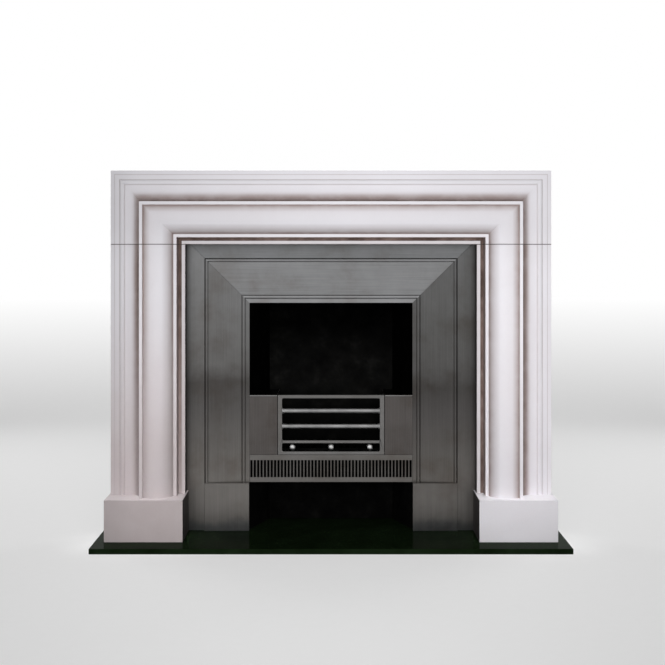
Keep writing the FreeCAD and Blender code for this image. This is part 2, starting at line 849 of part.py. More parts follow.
def build_smoke_way():
    outer = half_fire + size.cheek_thickness
    outside = rectangle(-outer, outer, chamber_front, plate_back)
    throat = rectangle(-half_throat, half_throat, throat_front, throat_back)
    plate = pad("throat_plate", "XY_Plane", [outside, throat], size.throat_plate_thickness)
    hand_in(place(plate, z=chamber_top))

    shell = combine("Part::Cut", "hood_shell", hood_block("hood_outside", 0, 0),
                    hood_block("hood_inside", size.hood_wall, size.hood_wall))
    mouth = cylinder("hood_mouth", spigot_bore, size.hood_wall * 4)
    place(mouth, 0, spigot_centre, hood_top - size.hood_wall * 2)
    hand_in(combine("Part::Cut", "smoke_hood", shell, mouth))
    build_spigot()


# Register flap: a plate with a knuckle on a rod, leaning back inside the hood when open.
# Its own origin is on the rod, and it is drawn shut.

rod_y = throat_back + size.flap_lap
rod_z = throat_top + size.flap_clearance + size.knuckle_radius
flap_half = half_throat + size.flap_lap
flap_reach = size.throat_depth + size.flap_lap * 2
rod_hole_radius = size.rod_radius + size.rod_clearance


def lean_back(target):
    """Turns a piece drawn shut to its open place on the rod."""
    place(target, y=rod_y, z=rod_z)
    for axis, share in (("x", 1), ("y", 0), ("z", 0)):
        bind(target, f"Placement.Rotation.Axis.{axis}", share)
    bind(target, "Placement.Rotation.Angle", -size.flap_open_angle)
    return target


def build_flap():
    underside = -size.knuckle_radius
    leaf = box("flap_leaf", (-flap_half, flap_half), (-flap_reach, 0),
               (underside, underside + size.flap_thickness))
    knuckle = place(cross_cylinder("flap_knuckle", size.knuckle_radius, flap_half * 2), -flap_half)
    bore = place(cross_cylinder("flap_bore", rod_hole_radius, flap_half * 4), -flap_half * 2)
    blank = combine("Part::Fuse", "flap_blank", leaf, knuckle)
    hand_in(lean_back(combine("Part::Cut", "register_flap", blank, bore)))

    near = size.eye_inset - flap_reach
    far = near + size.eye_width
    eye_level = underside - size.eye_drop + size.eye_width / 2
    tab = [(near, underside), (near, eye_level, end_rise(size.eye_width)), (far, eye_level), (far, underside)]
    eye = pad("flap_eye", "YZ_Plane", [tab], size.eye_thickness, symmetric=True)
    cut_through(eye, "flap_eye_hole", "YZ_Plane", [], [((near + far) / 2, eye_level, size.eye_hole_radius)])
    hand_in(lean_back(eye))


def build_flap_carriers():
    bracket_inner = flap_half + size.bracket_gap
    bracket_outer = bracket_inner + size.bracket_thickness
    rod = cross_cylinder("flap_rod", size.rod_radius, bracket_outer * 2)
    hand_in(place(rod, -bracket_outer, rod_y, rod_z))
    half = size.bracket_width / 2
    foot_level = throat_top - rod_z
    tab = [(-half, foot_level), (half, foot_level), (half, 0, end_rise(size.bracket_width)), (-half, 0)]
    brackets = []
    for word, side in SIDES:
        bracket = pad(f"bracket_{word}", "YZ_Plane", [tab], size.bracket_thickness)
        cut_through(bracket, f"bracket_{word}_hole", "YZ_Plane", [], [(0, 0, rod_hole_radius)])
        low, high = across(side, bracket_inner, bracket_outer)
        brackets.append(place(bracket, low, rod_y, rod_z))
    hand_in(group("flap_brackets", brackets))


# Fixing lugs: cranked straps behind the slips, with a hole for a wall screw.

def build_lug(name, side, level):
    thickness = size.lug_thickness
    slip_back = register_plane + size.plate
    web = slip_edge - size.lug_edge
    inner_web = web - thickness
    tab_end = web - size.lug_tab
    wall_tab_end = web + size.lug_wall_tab
    plan = [(tab_end, slip_back), (web, slip_back), (web, 0), (wall_tab_end, 0), (wall_tab_end, thickness),
            (inner_web, thickness), (inner_web, slip_back + thickness), (tab_end, slip_back + thickness)]
    lug = pad(name, "XY_Plane", [[(side * x, y) for x, y in plan]], size.lug_height)
    hole = (side * (web + size.lug_wall_tab / 2), size.lug_height / 2, size.lug_hole_radius)
    cut_through(lug, f"{name}_hole", "XZ_Plane", [], [hole])
    return place(lug, z=level - size.lug_height / 2)


def build_lugs():
    levels = (("lower", hearth_top + size.lug_rise), ("upper", soffit - size.lug_drop))
    hand_in(group("fixing_lugs", [build_lug(f"lug_{height}_{word}", side, level)
                                  for word, side in SIDES for height, level in levels]))


def check_model():
    """Stops before anything is written if an object failed or a piece isn't a sound solid."""
    for item in doc.Objects:
        if "Invalid" in item.State or "Error" in item.State:
            raise RuntimeError(f"{item.Label} failed: {item.State}")
    for piece in pieces:
        shape = piece.Shape
        if shape.isNull() or not shape.isValid() or not shape.Solids:
            raise RuntimeError(f"{piece.Label} is not a sound solid")


build_hearth()
build_surround()
build_register()
build_hobs()
build_bar_front()
build_bottom_grate()
build_ash_drawer()
build_chamber()
build_smoke_way()
build_flap()
build_flap_carriers()
build_lugs()
doc.recompute()
check_model()
os.makedirs("parts", exist_ok=True)
for piece in pieces:
    piece.Shape.exportStep(f"parts/{piece.Label}.step")
print(f"{len(pieces)} pieces written")
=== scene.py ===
import math

import bpy
from mathutils import Matrix, Vector


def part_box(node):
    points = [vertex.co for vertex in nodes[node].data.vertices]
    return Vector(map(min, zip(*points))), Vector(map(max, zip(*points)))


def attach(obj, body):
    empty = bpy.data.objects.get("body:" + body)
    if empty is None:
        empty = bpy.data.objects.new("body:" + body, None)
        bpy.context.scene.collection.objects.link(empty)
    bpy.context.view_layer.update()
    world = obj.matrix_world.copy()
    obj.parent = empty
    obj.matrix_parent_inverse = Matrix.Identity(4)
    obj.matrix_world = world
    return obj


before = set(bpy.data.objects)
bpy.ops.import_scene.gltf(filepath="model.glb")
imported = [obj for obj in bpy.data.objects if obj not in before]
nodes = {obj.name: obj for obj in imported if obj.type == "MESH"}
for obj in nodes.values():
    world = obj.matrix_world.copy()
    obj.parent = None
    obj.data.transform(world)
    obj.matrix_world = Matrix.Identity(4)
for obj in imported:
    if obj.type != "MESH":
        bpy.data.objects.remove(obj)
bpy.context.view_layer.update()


# Hearth: a thin front slab and a strip under the fire, sawn from near-black green serpentine.
# The faces are polished and the edges eased by hand; both lie loose on the floor.

def add_node(tree, kind, inputs=None, **settings):
    """One shader node; an input takes a plain value or another node's output."""
    made = tree.nodes.new(kind)
    for name, value in settings.items():
        setattr(made, name, value)
    for name, value in (inputs or {}).items():
        set_input(tree, made.inputs[name], value)
    return made


def set_input(tree, socket, value):
    if isinstance(value, bpy.types.NodeSocket):
        tree.links.new(value, socket)
    else:
        socket.default_value = value


def ramp(tree, factor, stops):
    """Colour ramp through (position, colour) stops."""
    made = add_node(tree, "ShaderNodeValToRGB", {"Fac": factor})
    elements = made.color_ramp.elements
    elements.remove(elements[1])
    for index, (position, colour) in enumerate(stops):
        element = elements[0] if index == 0 else elements.new(position)
        element.position = position
        element.color = (*colour, 1.0)
    return made.outputs["Color"]


def grey_ramp(tree, factor, stops):
    return ramp(tree, factor, [(position, (level,) * 3) for position, level in stops])


def mix(tree, factor, first, second, blend_type="MIX"):
    made = add_node(tree, "ShaderNodeMix", data_type="RGBA", blend_type=blend_type)
    for index, value in ((0, factor), (6, first), (7, second)):
        set_input(tree, made.inputs[index], value)
    return made.outputs[2]


def noise(tree, vector, scale, detail=4.0, roughness=0.55):
    made = add_node(tree, "ShaderNodeTexNoise", {"Vector": vector, "Scale": scale, "Detail": detail,
                                                 "Roughness": roughness})
    return made.outputs["Fac"]


def stretched(tree, vector, scale):
    """Coordinates scaled differently along each axis."""
    return add_node(tree, "ShaderNodeMapping", {"Vector": vector, "Scale": scale}).outputs["Vector"]


def bump(tree, height, strength, distance):
    made = add_node(tree, "ShaderNodeBump", {"Height": height, "Strength": strength, "Distance": distance})
    return made.outputs["Normal"]


def calculate(tree, operation, *values):
    made = add_node(tree, "ShaderNodeMath", operation=operation)
    for index, value in enumerate(values):
        set_input(tree, made.inputs[index], value)
    return made.outputs[0]


def new_finish(name):
    """A material with its node tree, its shader and coordinates in metres from the object's origin."""
    material = bpy.data.materials.new(name)
    material.use_nodes = True
    tree = material.node_tree
    shader = tree.nodes["Principled BSDF"]
    place = add_node(tree, "ShaderNodeTexCoord").outputs["Object"]
    return material, tree, shader, place


def dress(names, material, edge=0.0):
    """Gives pieces a finish and eases their edges."""
    for name in names:
        piece = nodes[name]
        piece.data.materials.clear()
        piece.data.materials.append(material)
        if edge:
            weld = piece.modifiers.new("joined_faces", "WELD")
            weld.merge_threshold = 1e-5
            bevel = piece.modifiers.new("eased_edges", "BEVEL")
            bevel.width = edge
            bevel.segments = 2
            bevel.limit_method = "ANGLE"
            bevel.angle_limit = math.radians(35)
            normals = piece.modifiers.new("flat_faces", "WEIGHTED_NORMAL")
            normals.weight = 80


def polished_serpentine():
    material, tree, shader, place = new_finish("polished_serpentine")
    cloud = noise(tree, place, 9.0, 8.0, 0.65)
    fleck = noise(tree, place, 160.0, 3.0)
    body = ramp(tree, cloud, [(0.3, (0.0045, 0.0095, 0.003)), (0.6, (0.009, 0.0175, 0.007)),
                              (0.8, (0.0145, 0.028, 0.012))])
    light = ramp(tree, fleck, [(0.62, (0.0, 0.0, 0.0)), (0.75, (0.008, 0.016, 0.008))])
    set_input(tree, shader.inputs["Base Color"], mix(tree, 1.0, body, light, "ADD"))
    set_input(tree, shader.inputs["Roughness"], grey_ramp(tree, cloud, [(0.3, 0.1), (0.8, 0.18)]))
    shader.inputs["IOR"].default_value = 1.03
    shader.inputs["Specular Tint"].default_value = (0.6, 1.0, 0.6, 1.0)
    return material


dress(["hearth_slab", "back_hearth"], polished_serpentine(), 0.0012)


# Stone surround: two foot blocks, two jambs and a header, cut from pale limestone.
# The jambs and header are one run of bolection moulding, rubbed smooth, on slate dowels in mortar.
# A brown tint in the hollows is partly stain and partly painted shade, and the faces that look to the fire
# carry painted shade, near black.

half_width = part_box("header")[1].x
header_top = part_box("header")[1].z
header_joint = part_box("header")[0].z
moulding_width = header_top - header_joint
mortar_half_width = 0.0013
rebate_depth = 0.0205


def coordinate(tree, place, axis):
    return add_node(tree, "ShaderNodeSeparateXYZ", {"Vector": place}).outputs[axis]


def facing(tree, axis):
    """How far a face looks along an axis: 1 along it, -1 against it."""
    normal = add_node(tree, "ShaderNodeNewGeometry").outputs["Normal"]
    return coordinate(tree, normal, axis)


def across(tree, place):
    """0 at the surround's left edge, 1 at its right."""
    from_left = calculate(tree, "ADD", coordinate(tree, place, "X"), half_width)
    return calculate(tree, "DIVIDE", from_left, half_width * 2)


def shaded_stone_bed(tree, place, cloud):
    """Clean stone with painted shade: pinkish and darker low on the left, cooler and lighter above and to the
    right, and a tenth darker at the header's height.
    """
    height = coordinate(tree, place, "Z")
    to_right = across(tree, place)
    warm_shaded_bed = ramp(tree, cloud, [(0.3, (0.635, 0.565, 0.575)), (0.7, (0.665, 0.61, 0.62))])
    cool_lit_bed = ramp(tree, cloud, [(0.3, (0.75, 0.73, 0.765)), (0.7, (0.78, 0.765, 0.805))])
    coolness_and_light = calculate(tree, "MAXIMUM", grey_ramp(tree, height, [(0.3, 0.0), (0.75, 1.0)]),
                         grey_ramp(tree, to_right, [(0.4, 0.0), (0.8, 0.9)]))
    # Painted shade: darker to the left, lighter to the right, and a tenth darker at the header's height.
    sideways = grey_ramp(tree, to_right, [(0.0, 0.82), (0.06, 0.91), (0.2, 0.93), (0.8, 1.05), (1.0, 1.13)])
    upwards = grey_ramp(tree, height, [(0.85, 1.0), (0.98, 0.9)])
    level = mix(tree, 1.0, sideways, upwards, "MULTIPLY")
    return mix(tree, 1.0, mix(tree, coolness_and_light, warm_shaded_bed, cool_lit_bed), level, "MULTIPLY")


def stain_and_painted_shade(tree, place, stops):
    """Tint in the moulding's hollows, partly stain and partly painted shade, by distances in from its outer
    edge in millimetres.

    It fades down the left jamb and leaves the flat back clean; faces looking straight up get none of it,
    which is painted light from above."""
    height = coordinate(tree, place, "Z")
    from_middle = calculate(tree, "ABSOLUTE", coordinate(tree, place, "X"))
    from_side = calculate(tree, "SUBTRACT", half_width, from_middle)
    from_edge = calculate(tree, "MINIMUM", from_side, calculate(tree, "SUBTRACT", header_top, height))
    inset = calculate(tree, "DIVIDE", from_edge, moulding_width)
    # The tint in the hollows is partly stain and partly painted shade.
    amount = grey_ramp(tree, inset, [(distance / 1000 / moulding_width, level) for distance, level in stops])
    patchy = grey_ramp(tree, noise(tree, place, 22.0, 5.0), [(0.3, 0.8), (0.6, 1.0)])
    in_front = calculate(tree, "LESS_THAN", coordinate(tree, place, "Y"), -rebate_depth)
    strength_by_place = calculate(tree, "MAXIMUM", grey_ramp(tree, height, [(0.15, 0.3), (0.45, 0.6), (0.75, 1.0)]),
                       grey_ramp(tree, across(tree, place), [(0.4, 0.3), (0.8, 0.95)]))
    # Painted light: faces looking straight up get none of the tint, as if lit from above.
    off_ledges = grey_ramp(tree, facing(tree, "Z"), [(0.93, 1.0), (0.98, 0.0)])
    for share in (patchy, in_front, strength_by_place, off_ledges):
        amount = mix(tree, 1.0, amount, share, "MULTIPLY")
    return ramp(tree, amount, [(0.0, (1.0, 1.0, 1.0)), (0.5, (0.5, 0.42, 0.385)),
                               (0.8, (0.24, 0.175, 0.145)), (1.0, (0.07, 0.045, 0.035))])


def limestone(name, stain_and_shade_stops):
    """Pale stone with its stain and painted shade in the hollows, a dark mortar line at the header's joint,
    and painted shade, near black, on the faces towards the fire.
    """
    material, tree, shader, place = new_finish(name)
    cloud = noise(tree, place, 5.0, 6.0, 0.6)
    grain = noise(tree, place, 420.0, 5.0, 0.7)
    clean = mix(tree, 0.06, shaded_stone_bed(tree, place, cloud),
                grey_ramp(tree, grain, [(0.35, 0.45), (0.65, 1.0)]), "MULTIPLY")
    stained_and_shaded = mix(tree, 1.0, clean, stain_and_painted_shade(tree, place, stain_and_shade_stops), "MULTIPLY")
    from_joint = calculate(tree, "SUBTRACT", coordinate(tree, place, "Z"), header_joint)
    in_joint = calculate(tree, "LESS_THAN", calculate(tree, "ABSOLUTE", from_joint), mortar_half_width)
    jointed = mix(tree, calculate(tree, "MULTIPLY", in_joint, 0.85), stained_and_shaded, (0.045, 0.035, 0.030, 1.0))
    # Painted shade: faces that look into the opening, on the inner returns of jambs and foot blocks, are laid
    # near black.
    sideways = coordinate(tree, place, "X")
    outward = calculate(tree, "MULTIPLY", facing(tree, "X"), calculate(tree, "SIGN", sideways))
    opening_edge = half_width - moulding_width + 0.004
    by_fire = calculate(tree, "LESS_THAN", calculate(tree, "ABSOLUTE", sideways), opening_edge)
    faces_to_opening = calculate(tree, "MULTIPLY", calculate(tree, "LESS_THAN", outward, -0.9), by_fire)
    with_painted_returns = mix(tree, calculate(tree, "MULTIPLY", faces_to_opening, 0.98), jointed, (0.012, 0.009, 0.008, 1.0))
    set_input(tree, shader.inputs["Base Color"], with_painted_returns)
    set_input(tree, shader.inputs["Roughness"], grey_ramp(tree, cloud, [(0.3, 0.5), (0.7, 0.62)]))
    set_input(tree, shader.inputs["Normal"], bump(tree, grain, 0.12, 0.0004))
    shader.inputs["Specular IOR Level"].default_value = 0.35
    return material


# Tint by distance in millimetres from the outer edge, partly stain and partly painted shade; the header's
# hollow gets a quarter less.
MOULDING_STAIN_AND_SHADE = [(0, 0.0), (10, 0.0), (12, 0.3), (14, 0.0), (26, 0.0), (28.2, 0.3), (30.5, 0.0),
                  (42, 0.0), (44, 0.25), (46.5, 0.0), (64, 0.03), (70, 0.16), (76, 0.46), (82, 0.65),
                  (90, 0.85), (97.3, 0.97), (97.7, 0.0), (107, 0.0), (108.2, 0.6), (112, 0.46), (118, 0.3),
                  (130, 0.08), (166, 0.0), (182, 0.16), (190, 0.3), (196.6, 0.65), (198.2, 0.0), (206.5, 0.0),
                  (207.8, 0.95), (217.8, 0.97), (218.4, 0.1), (229, 0.2)]
HEADER_STAIN_AND_SHADE = [(distance, level * 0.75 if 60 < distance < 95 else level)
                for distance, level in MOULDING_STAIN_AND_SHADE]
dress(["jamb_left", "jamb_right"], limestone("stained_shaded_limestone", MOULDING_STAIN_AND_SHADE), 0.001)
dress(["header"], limestone("header_limestone", HEADER_STAIN_AND_SHADE), 0.001)
# Painted shade: the left foot block gets an even share of the tint, which makes it darker than the right.
dress(["foot_block_left"], limestone("shaded_limestone", [(0, 0.45), (229, 0.45)]), 0.001)
dress(["foot_block_right"], limestone("plain_limestone", [(0, 0.0), (229, 0.0)]), 0.001)


def sawn_slate():
    material, tree, shader, place = new_finish("sawn_slate")
    leaves = noise(tree, stretched(tree, place, (500.0, 500.0, 20.0)), 1.0, 4.0)
    set_input(tree, shader.inputs["Base Color"],
              ramp(tree, leaves, [(0.3, (0.035, 0.040, 0.048)), (0.7, (0.070, 0.078, 0.090))]))
    set_input(tree, shader.inputs["Roughness"], grey_ramp(tree, leaves, [(0.3, 0.55), (0.7, 0.75)]))
    set_input(tree, shader.inputs["Normal"], bump(tree, leaves, 0.2, 0.0003))
    return material


dress(["stone_dowels"], sawn_slate(), 0.0004)


# Register front: slips, beads, mitred panels, inner frame and base blocks of dull steel plate.
# Each piece is brushed along its length, and its back keeps the black scale of the rolling mill.

def brushed_steel(name, grain, tone, tarnish_and_reflection):
    """Brushed plate: grain is the axis of the brush lines; the last argument gives the tone at heights from
    the floor, partly tarnished steel and partly painted reflection.
    """
    material, tree, shader, place = new_finish(name)
    fine = noise(tree, stretched(tree, place, [6.0 if axis == grain else 900.0 for axis in "XYZ"]), 1.0, 3.0)
    broad = noise(tree, stretched(tree, place, [1.2 if axis == grain else 60.0 for axis in "XYZ"]), 1.0, 4.0)
    handled = noise(tree, place, 7.0, 6.0, 0.6)
    wander = calculate(tree, "MULTIPLY_ADD", handled, 0.09, -0.045)
    height = calculate(tree, "ADD", coordinate(tree, place, "Z"), wander)
    mottle = ramp(tree, handled, [(0.32, (0.80, 0.76, 0.73)), (0.5, (1.0, 1.0, 1.0)),
                                  (0.68, (1.12, 1.12, 1.13))])
    shade = mix(tree, 1.0, ramp(tree, height, tarnish_and_reflection), mottle, "MULTIPLY")
    lines = mix(tree, 0.4, grey_ramp(tree, fine, [(0.25, 0.7), (0.75, 1.2)]),
                grey_ramp(tree, broad, [(0.3, 0.86), (0.7, 1.1)]))
    colour = mix(tree, 1.0, mix(tree, 1.0, (*tone, 1.0), shade, "MULTIPLY"), lines, "MULTIPLY")
    mill_scale = ramp(tree, handled, [(0.35, (0.030, 0.029, 0.030)), (0.55, (0.050, 0.046, 0.044)),
                                      (0.72, (0.085, 0.055, 0.038))])
    from_behind = grey_ramp(tree, facing(tree, "Y"), [(0.6, 0.0), (0.9, 1.0)])
    set_input(tree, shader.inputs["Base Color"], mix(tree, from_behind, colour, mill_scale))
    set_input(tree, shader.inputs["Roughness"], grey_ramp(tree, fine, [(0.3, 0.3), (0.7, 0.42)]))
    set_input(tree, shader.inputs["Normal"], bump(tree, fine, 0.1, 0.0002))
    shader.inputs["Metallic"].default_value = 1.0
    return material


# Tone by height from the floor, partly tarnished steel and partly painted reflection, such as the darker band
# just above the hearth that the plate mirrors.
LEFT_TARNISH_AND_REFLECTION = [(0.02, (0.86, 0.88, 0.90)), (0.04, (1.0, 1.0, 1.0)), (0.06, (1.42, 1.34, 1.26)),
                (0.23, (1.05, 0.99, 0.93)), (0.40, (0.70, 0.67, 0.65)), (0.48, (0.57, 0.54, 0.52)),
                (0.55, (0.94, 0.92, 0.90)), (0.66, (1.10, 1.09, 1.08)), (0.92, (1.36, 1.37, 1.38))]
RIGHT_TARNISH_AND_REFLECTION = [(0.02, (0.86, 0.88, 0.90)), (0.04, (1.0, 1.0, 1.0)), (0.06, (1.52, 1.44, 1.36)),
                 (0.23, (1.05, 0.99, 0.93)), (0.38, (0.72, 0.68, 0.66)), (0.46, (0.58, 0.55, 0.53)),
                 (0.53, (0.82, 0.80, 0.78)), (0.66, (0.92, 0.91, 0.89)), (0.92, (1.12, 1.12, 1.12))]
EVEN = [(0.0, (1.0, 1.0, 1.0)), (1.0, (1.0, 1.0, 1.0))]
# Painted light: sides, slips and top are copies of one steel in different tones, the right darker than the
# left, the slips a little lighter and the top's pieces lighter still.
for side, level, tarnish_and_reflection in (("left", 0.171, LEFT_TARNISH_AND_REFLECTION), ("right", 0.135, RIGHT_TARNISH_AND_REFLECTION)):
    panel_steel = brushed_steel(f"{side}_steel", "Z", (level,) * 3, tarnish_and_reflection)
    slip_steel = brushed_steel(f"{side}_slip_steel", "Z", (level * 1.08,) * 3, tarnish_and_reflection)
    dress([f"outer_bead_{side}", f"panel_{side}", f"inner_frame_{side}"], panel_steel, 0.0005)
    dress([f"slip_{side}"], slip_steel, 0.0005)
    dress([f"base_block_{side}"], panel_steel, 0.0008)
top_steel = brushed_steel("top_steel", "X", (0.325, 0.327, 0.332), EVEN)
top_slip_steel = brushed_steel("top_slip_steel", "X", (0.224, 0.228, 0.233), EVEN)
dress(["outer_bead_top", "panel_top", "inner_frame_top"], top_steel, 0.0005)
dress(["slip_top"], top_slip_steel, 0.0005)


# Hobs: steel fronts brushed upright, under top plates of lighter steel whose upward faces are laid near
# black.
# The side plates and floors are black sheet, folded and riveted to the front.

def black_sheet(name, tone, rust):
    """Blackened sheet with a little rust bloom."""
    material, tree, shader, place = new_finish(name)
    cloud = noise(tree, place, 14.0, 7.0, 0.65)
    grain = noise(tree, place, 300.0, 4.0)
    bloom = grey_ramp(tree, cloud, [(0.55, 0.0), (0.75, rust)])
    body = mix(tree, bloom, (*tone, 1.0), (0.055, 0.030, 0.018, 1.0))
    set_input(tree, shader.inputs["Base Color"],
              mix(tree, 0.5, body, grey_ramp(tree, grain, [(0.3, 0.6), (0.7, 1.2)]), "MULTIPLY"))
    set_input(tree, shader.inputs["Roughness"], grey_ramp(tree, cloud, [(0.3, 0.5), (0.7, 0.75)]))
    set_input(tree, shader.inputs["Normal"], bump(tree, grain, 0.15, 0.0003))
    shader.inputs["Metallic"].default_value = 0.4
    return material


def laid_dark(material, share, tone):
    """A dark tone laid over a finish as far as the share goes."""
    tree = material.node_tree
    colour = tree.nodes["Principled BSDF"].inputs["Base Color"]
    set_input(tree, colour, mix(tree, share, colour.links[0].from_socket, (tone, tone, tone, 1.0)))
    return material


def blackened(material, axis):
    """Near black on the faces of a bright plate that lie square to an axis; on the fret's slot walls it is
    painted shade.
    """
    tree = material.node_tree
    square_on = calculate(tree, "ABSOLUTE", facing(tree, axis))
    return laid_dark(material, grey_ramp(tree, square_on, [(0.6, 0.0), (0.9, 0.985)]), 0.001)


hob_steel = brushed_steel("hob_steel", "Z", (0.118, 0.108, 0.103), EVEN)
bright_steel = blackened(brushed_steel("bright_steel", "X", (0.24, 0.235, 0.23), EVEN), "Z")
stove_black = black_sheet("stove_black", (0.006, 0.006, 0.006), 0.1)
dress(["hob_front_left", "hob_front_right"], hob_steel, 0.0005)
dress(["hob_top_left", "hob_top_right"], bright_steel, 0.0012)
dress(["hob_side_left", "hob_side_right", "hob_floor_left", "hob_floor_right"], stove_black, 0.0004)


# Bar front: a flat steel frame with two turned bars and three ball spindles, lifted out for cleaning.
# The frame is brushed like the hobs, and the bars and balls are polished by hand.

def polished_steel(name, brightness):
    material, tree, shader, place = new_finish(name)
    wear = noise(tree, place, 25.0, 3.0, 0.5)
    scratches = noise(tree, stretched(tree, place, (8.0, 500.0, 500.0)), 1.0, 3.0)
    set_input(tree, shader.inputs["Base Color"],
              grey_ramp(tree, wear, [(0.3, brightness * 0.75), (0.55, brightness), (0.75, brightness * 1.2)]))
    set_input(tree, shader.inputs["Roughness"], grey_ramp(tree, wear, [(0.3, 0.5), (0.7, 0.4)]))
    set_input(tree, shader.inputs["Normal"], bump(tree, scratches, 0.02, 0.0001))
    shader.inputs["Metallic"].default_value = 1.0
    return material


frame_steel = brushed_steel("frame_steel", "X", (0.2, 0.195, 0.19), EVEN)
dress(["bar_frame"], frame_steel, 0.0012)
dress(["fire_bar_middle", "fire_bar_upper"], polished_steel("bar_steel", 0.36))


def shaded_spindles(material):
    """Painted shade, near black, on the spindles' necks and on the lower left of the balls."""
    tree = material.node_tree
    low, high = (corner.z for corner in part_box("ball_spindles"))
    place = add_node(tree, "ShaderNodeTexCoord").outputs["Object"]
    from_centre = calculate(tree, "SUBTRACT", coordinate(tree, place, "Z"), (low + high) / 2)
    reach = calculate(tree, "DIVIDE", calculate(tree, "ABSOLUTE", from_centre), (high - low) / 2)
    on_neck = grey_ramp(tree, reach, [(0.66, 0.0), (0.74, 0.98)])
    upwards = calculate(tree, "MULTIPLY_ADD", facing(tree, "X"), 0.5, facing(tree, "Z"))
    under = grey_ramp(tree, calculate(tree, "MULTIPLY_ADD", upwards, 0.5, 0.5),
                      [(0.05, 0.85), (0.35, 0.45), (0.55, 0.0)])
    return laid_dark(material, calculate(tree, "MAXIMUM", under, on_neck), 0.001)


# The balls' steel is a lighter copy of the bars', as painted highlight.
dress(["ball_spindles"], shaded_spindles(polished_steel("ball_steel", 0.75)))


# Fire chamber and bottom grate: thick iron castings, sand-rough, black with soot inside and rusty outside.
# The back and cheeks stand on the hearth behind the plate, and the grate drops onto the hob ledges.
# The back is lighter just above the bars and darker higher up, and the cheeks are darker higher up.

def sooty_iron(name, greyness_stops):
    """Cast iron under soot, with a factor on its soot tone at each height in metres."""
    material, tree, shader, place = new_finish(name)
    mottle = noise(tree, place, 18.0, 8.0, 0.7)
    sand = noise(tree, place, 240.0, 4.0, 0.6)
    greyness = grey_ramp(tree, coordinate(tree, place, "Z"), greyness_stops)
    soot_tone = ramp(tree, mottle, [(0.3, (0.0013, 0.0013, 0.0013)), (0.55, (0.0037, 0.0037, 0.0035)),
                                    (0.75, (0.010, 0.0097, 0.0092))])
    by_the_fire = mix(tree, 1.0, soot_tone, greyness, "MULTIPLY")
    casting = ramp(tree, mottle, [(0.35, (0.022, 0.021, 0.021)), (0.55, (0.040, 0.036, 0.034)),
                                  (0.72, (0.085, 0.048, 0.030))])
    outside = grey_ramp(tree, facing(tree, "Y"), [(0.1, 0.0), (0.3, 1.0)])
    set_input(tree, shader.inputs["Base Color"], mix(tree, outside, by_the_fire, casting))
    set_input(tree, shader.inputs["Roughness"], grey_ramp(tree, mottle, [(0.3, 0.85), (0.75, 0.6)]))
    height = mix(tree, 0.4, mottle, sand)
    set_input(tree, shader.inputs["Normal"], bump(tree, height, 0.35, 0.0015))
    set_input(tree, shader.inputs["Specular IOR Level"], calculate(tree, "MULTIPLY", greyness, 0.05))
    return material


soot = sooty_iron("sooty_iron", [(0.0, 0.6)])
greyed_back = sooty_iron("greyed_back", [(0.30, 0.6), (0.46, 1.0), (0.56, 0.75), (0.66, 0.2)])
darkened_cheek = sooty_iron("darkened_cheek", [(0.30, 0.6), (0.40, 0.15)])
dress(["bottom_grate"], soot, 0.0015)
dress(["fireback"], greyed_back, 0.0015)
dress(["cheek_left", "cheek_right"], darkened_cheek, 0.0015)


# Ash drawer: a slotted steel fret with a folded sheet pan behind it, on two angle runners.
# The fret is brushed along its length like the plates above, and its bars are darkened between the rails.

def darkened_bars(material):
    """The bars of the fret, darkened by about a quarter between its foot rail and its head rail."""
    tree = material.node_tree
    low, high = (corner.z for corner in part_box("fret"))
    foot_rail = 0.0155
    head_rail = 0.017
    height = coordinate(tree, add_node(tree, "ShaderNodeTexCoord").outputs["Object"], "Z")
    between = calculate(tree, "MULTIPLY", calculate(tree, "GREATER_THAN", height, low + foot_rail),
                        calculate(tree, "LESS_THAN", height, high - head_rail))
    return laid_dark(material, calculate(tree, "MULTIPLY", between, 0.26), 0.004)


# Painted shade: the walls of the fret's slots, which face along X, are laid near black.
fret_steel = blackened(brushed_steel("fret_steel", "X", (0.183, 0.175, 0.166), EVEN), "X")
dress(["fret"], darkened_bars(fret_steel), 0.0003)
dress(["ash_pan"], soot, 0.0004)
dress(["ash_runner_left", "ash_runner_right"], stove_black, 0.0004)


# Smoke way: a cast throat plate with its hinged flap, under a folded hood and a round flue spigot.
# All of it is hidden in the chimney, so it is left black from the forge.
# Round-headed rivets hold the spigot's flange to the hood.
forge_black = black_sheet("forge_black", (0.035, 0.035, 0.036), 0.5)
dress(["throat_plate", "register_flap", "flap_eye"], soot, 0.0008)
dress(["smoke_hood", "flue_spigot"], forge_black, 0.0006)
dress(["flap_rod", "flap_brackets"], forge_black, 0.0004)


def rivets(name, seats, lean, radius, height):
    """Round heads on their seats; lean turns them from upright about X, in degrees."""
    turn = Matrix.Rotation(math.radians(lean), 4, "X")
    around = 14
    levels = [(1.0, 0.0), (0.97, 0.3), (0.84, 0.62), (0.6, 0.86), (0.3, 0.97)]
    points = []
    faces = []
    for seat in seats:
        first = len(points)
        for share, rise in levels:
            for step in range(around):
                angle = math.tau * step / around
                edge = radius * share
                ring_point = Vector((edge * math.cos(angle), edge * math.sin(angle), height * rise))
                points.append(turn @ ring_point + Vector(seat))
        points.append(turn @ Vector((0.0, 0.0, height)) + Vector(seat))
        for level in range(len(levels) - 1):
            for step in range(around):
                low = first + level * around
                ahead = (step + 1) % around
                faces.append((low + step, low + ahead, low + around + ahead, low + around + step))
        crown = first + (len(levels) - 1) * around
        faces += [(crown + step, crown + (step + 1) % around, len(points) - 1) for step in range(around)]
        faces.append([first + step for step in reversed(range(around))])
    mesh = bpy.data.meshes.new(name)
    mesh.from_pydata(points, [], faces)
    mesh.materials.append(forge_black)
    mesh.shade_smooth()
    heads = bpy.data.objects.new(name, mesh)
    bpy.context.scene.collection.objects.link(heads)
    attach(heads, "fireplace")


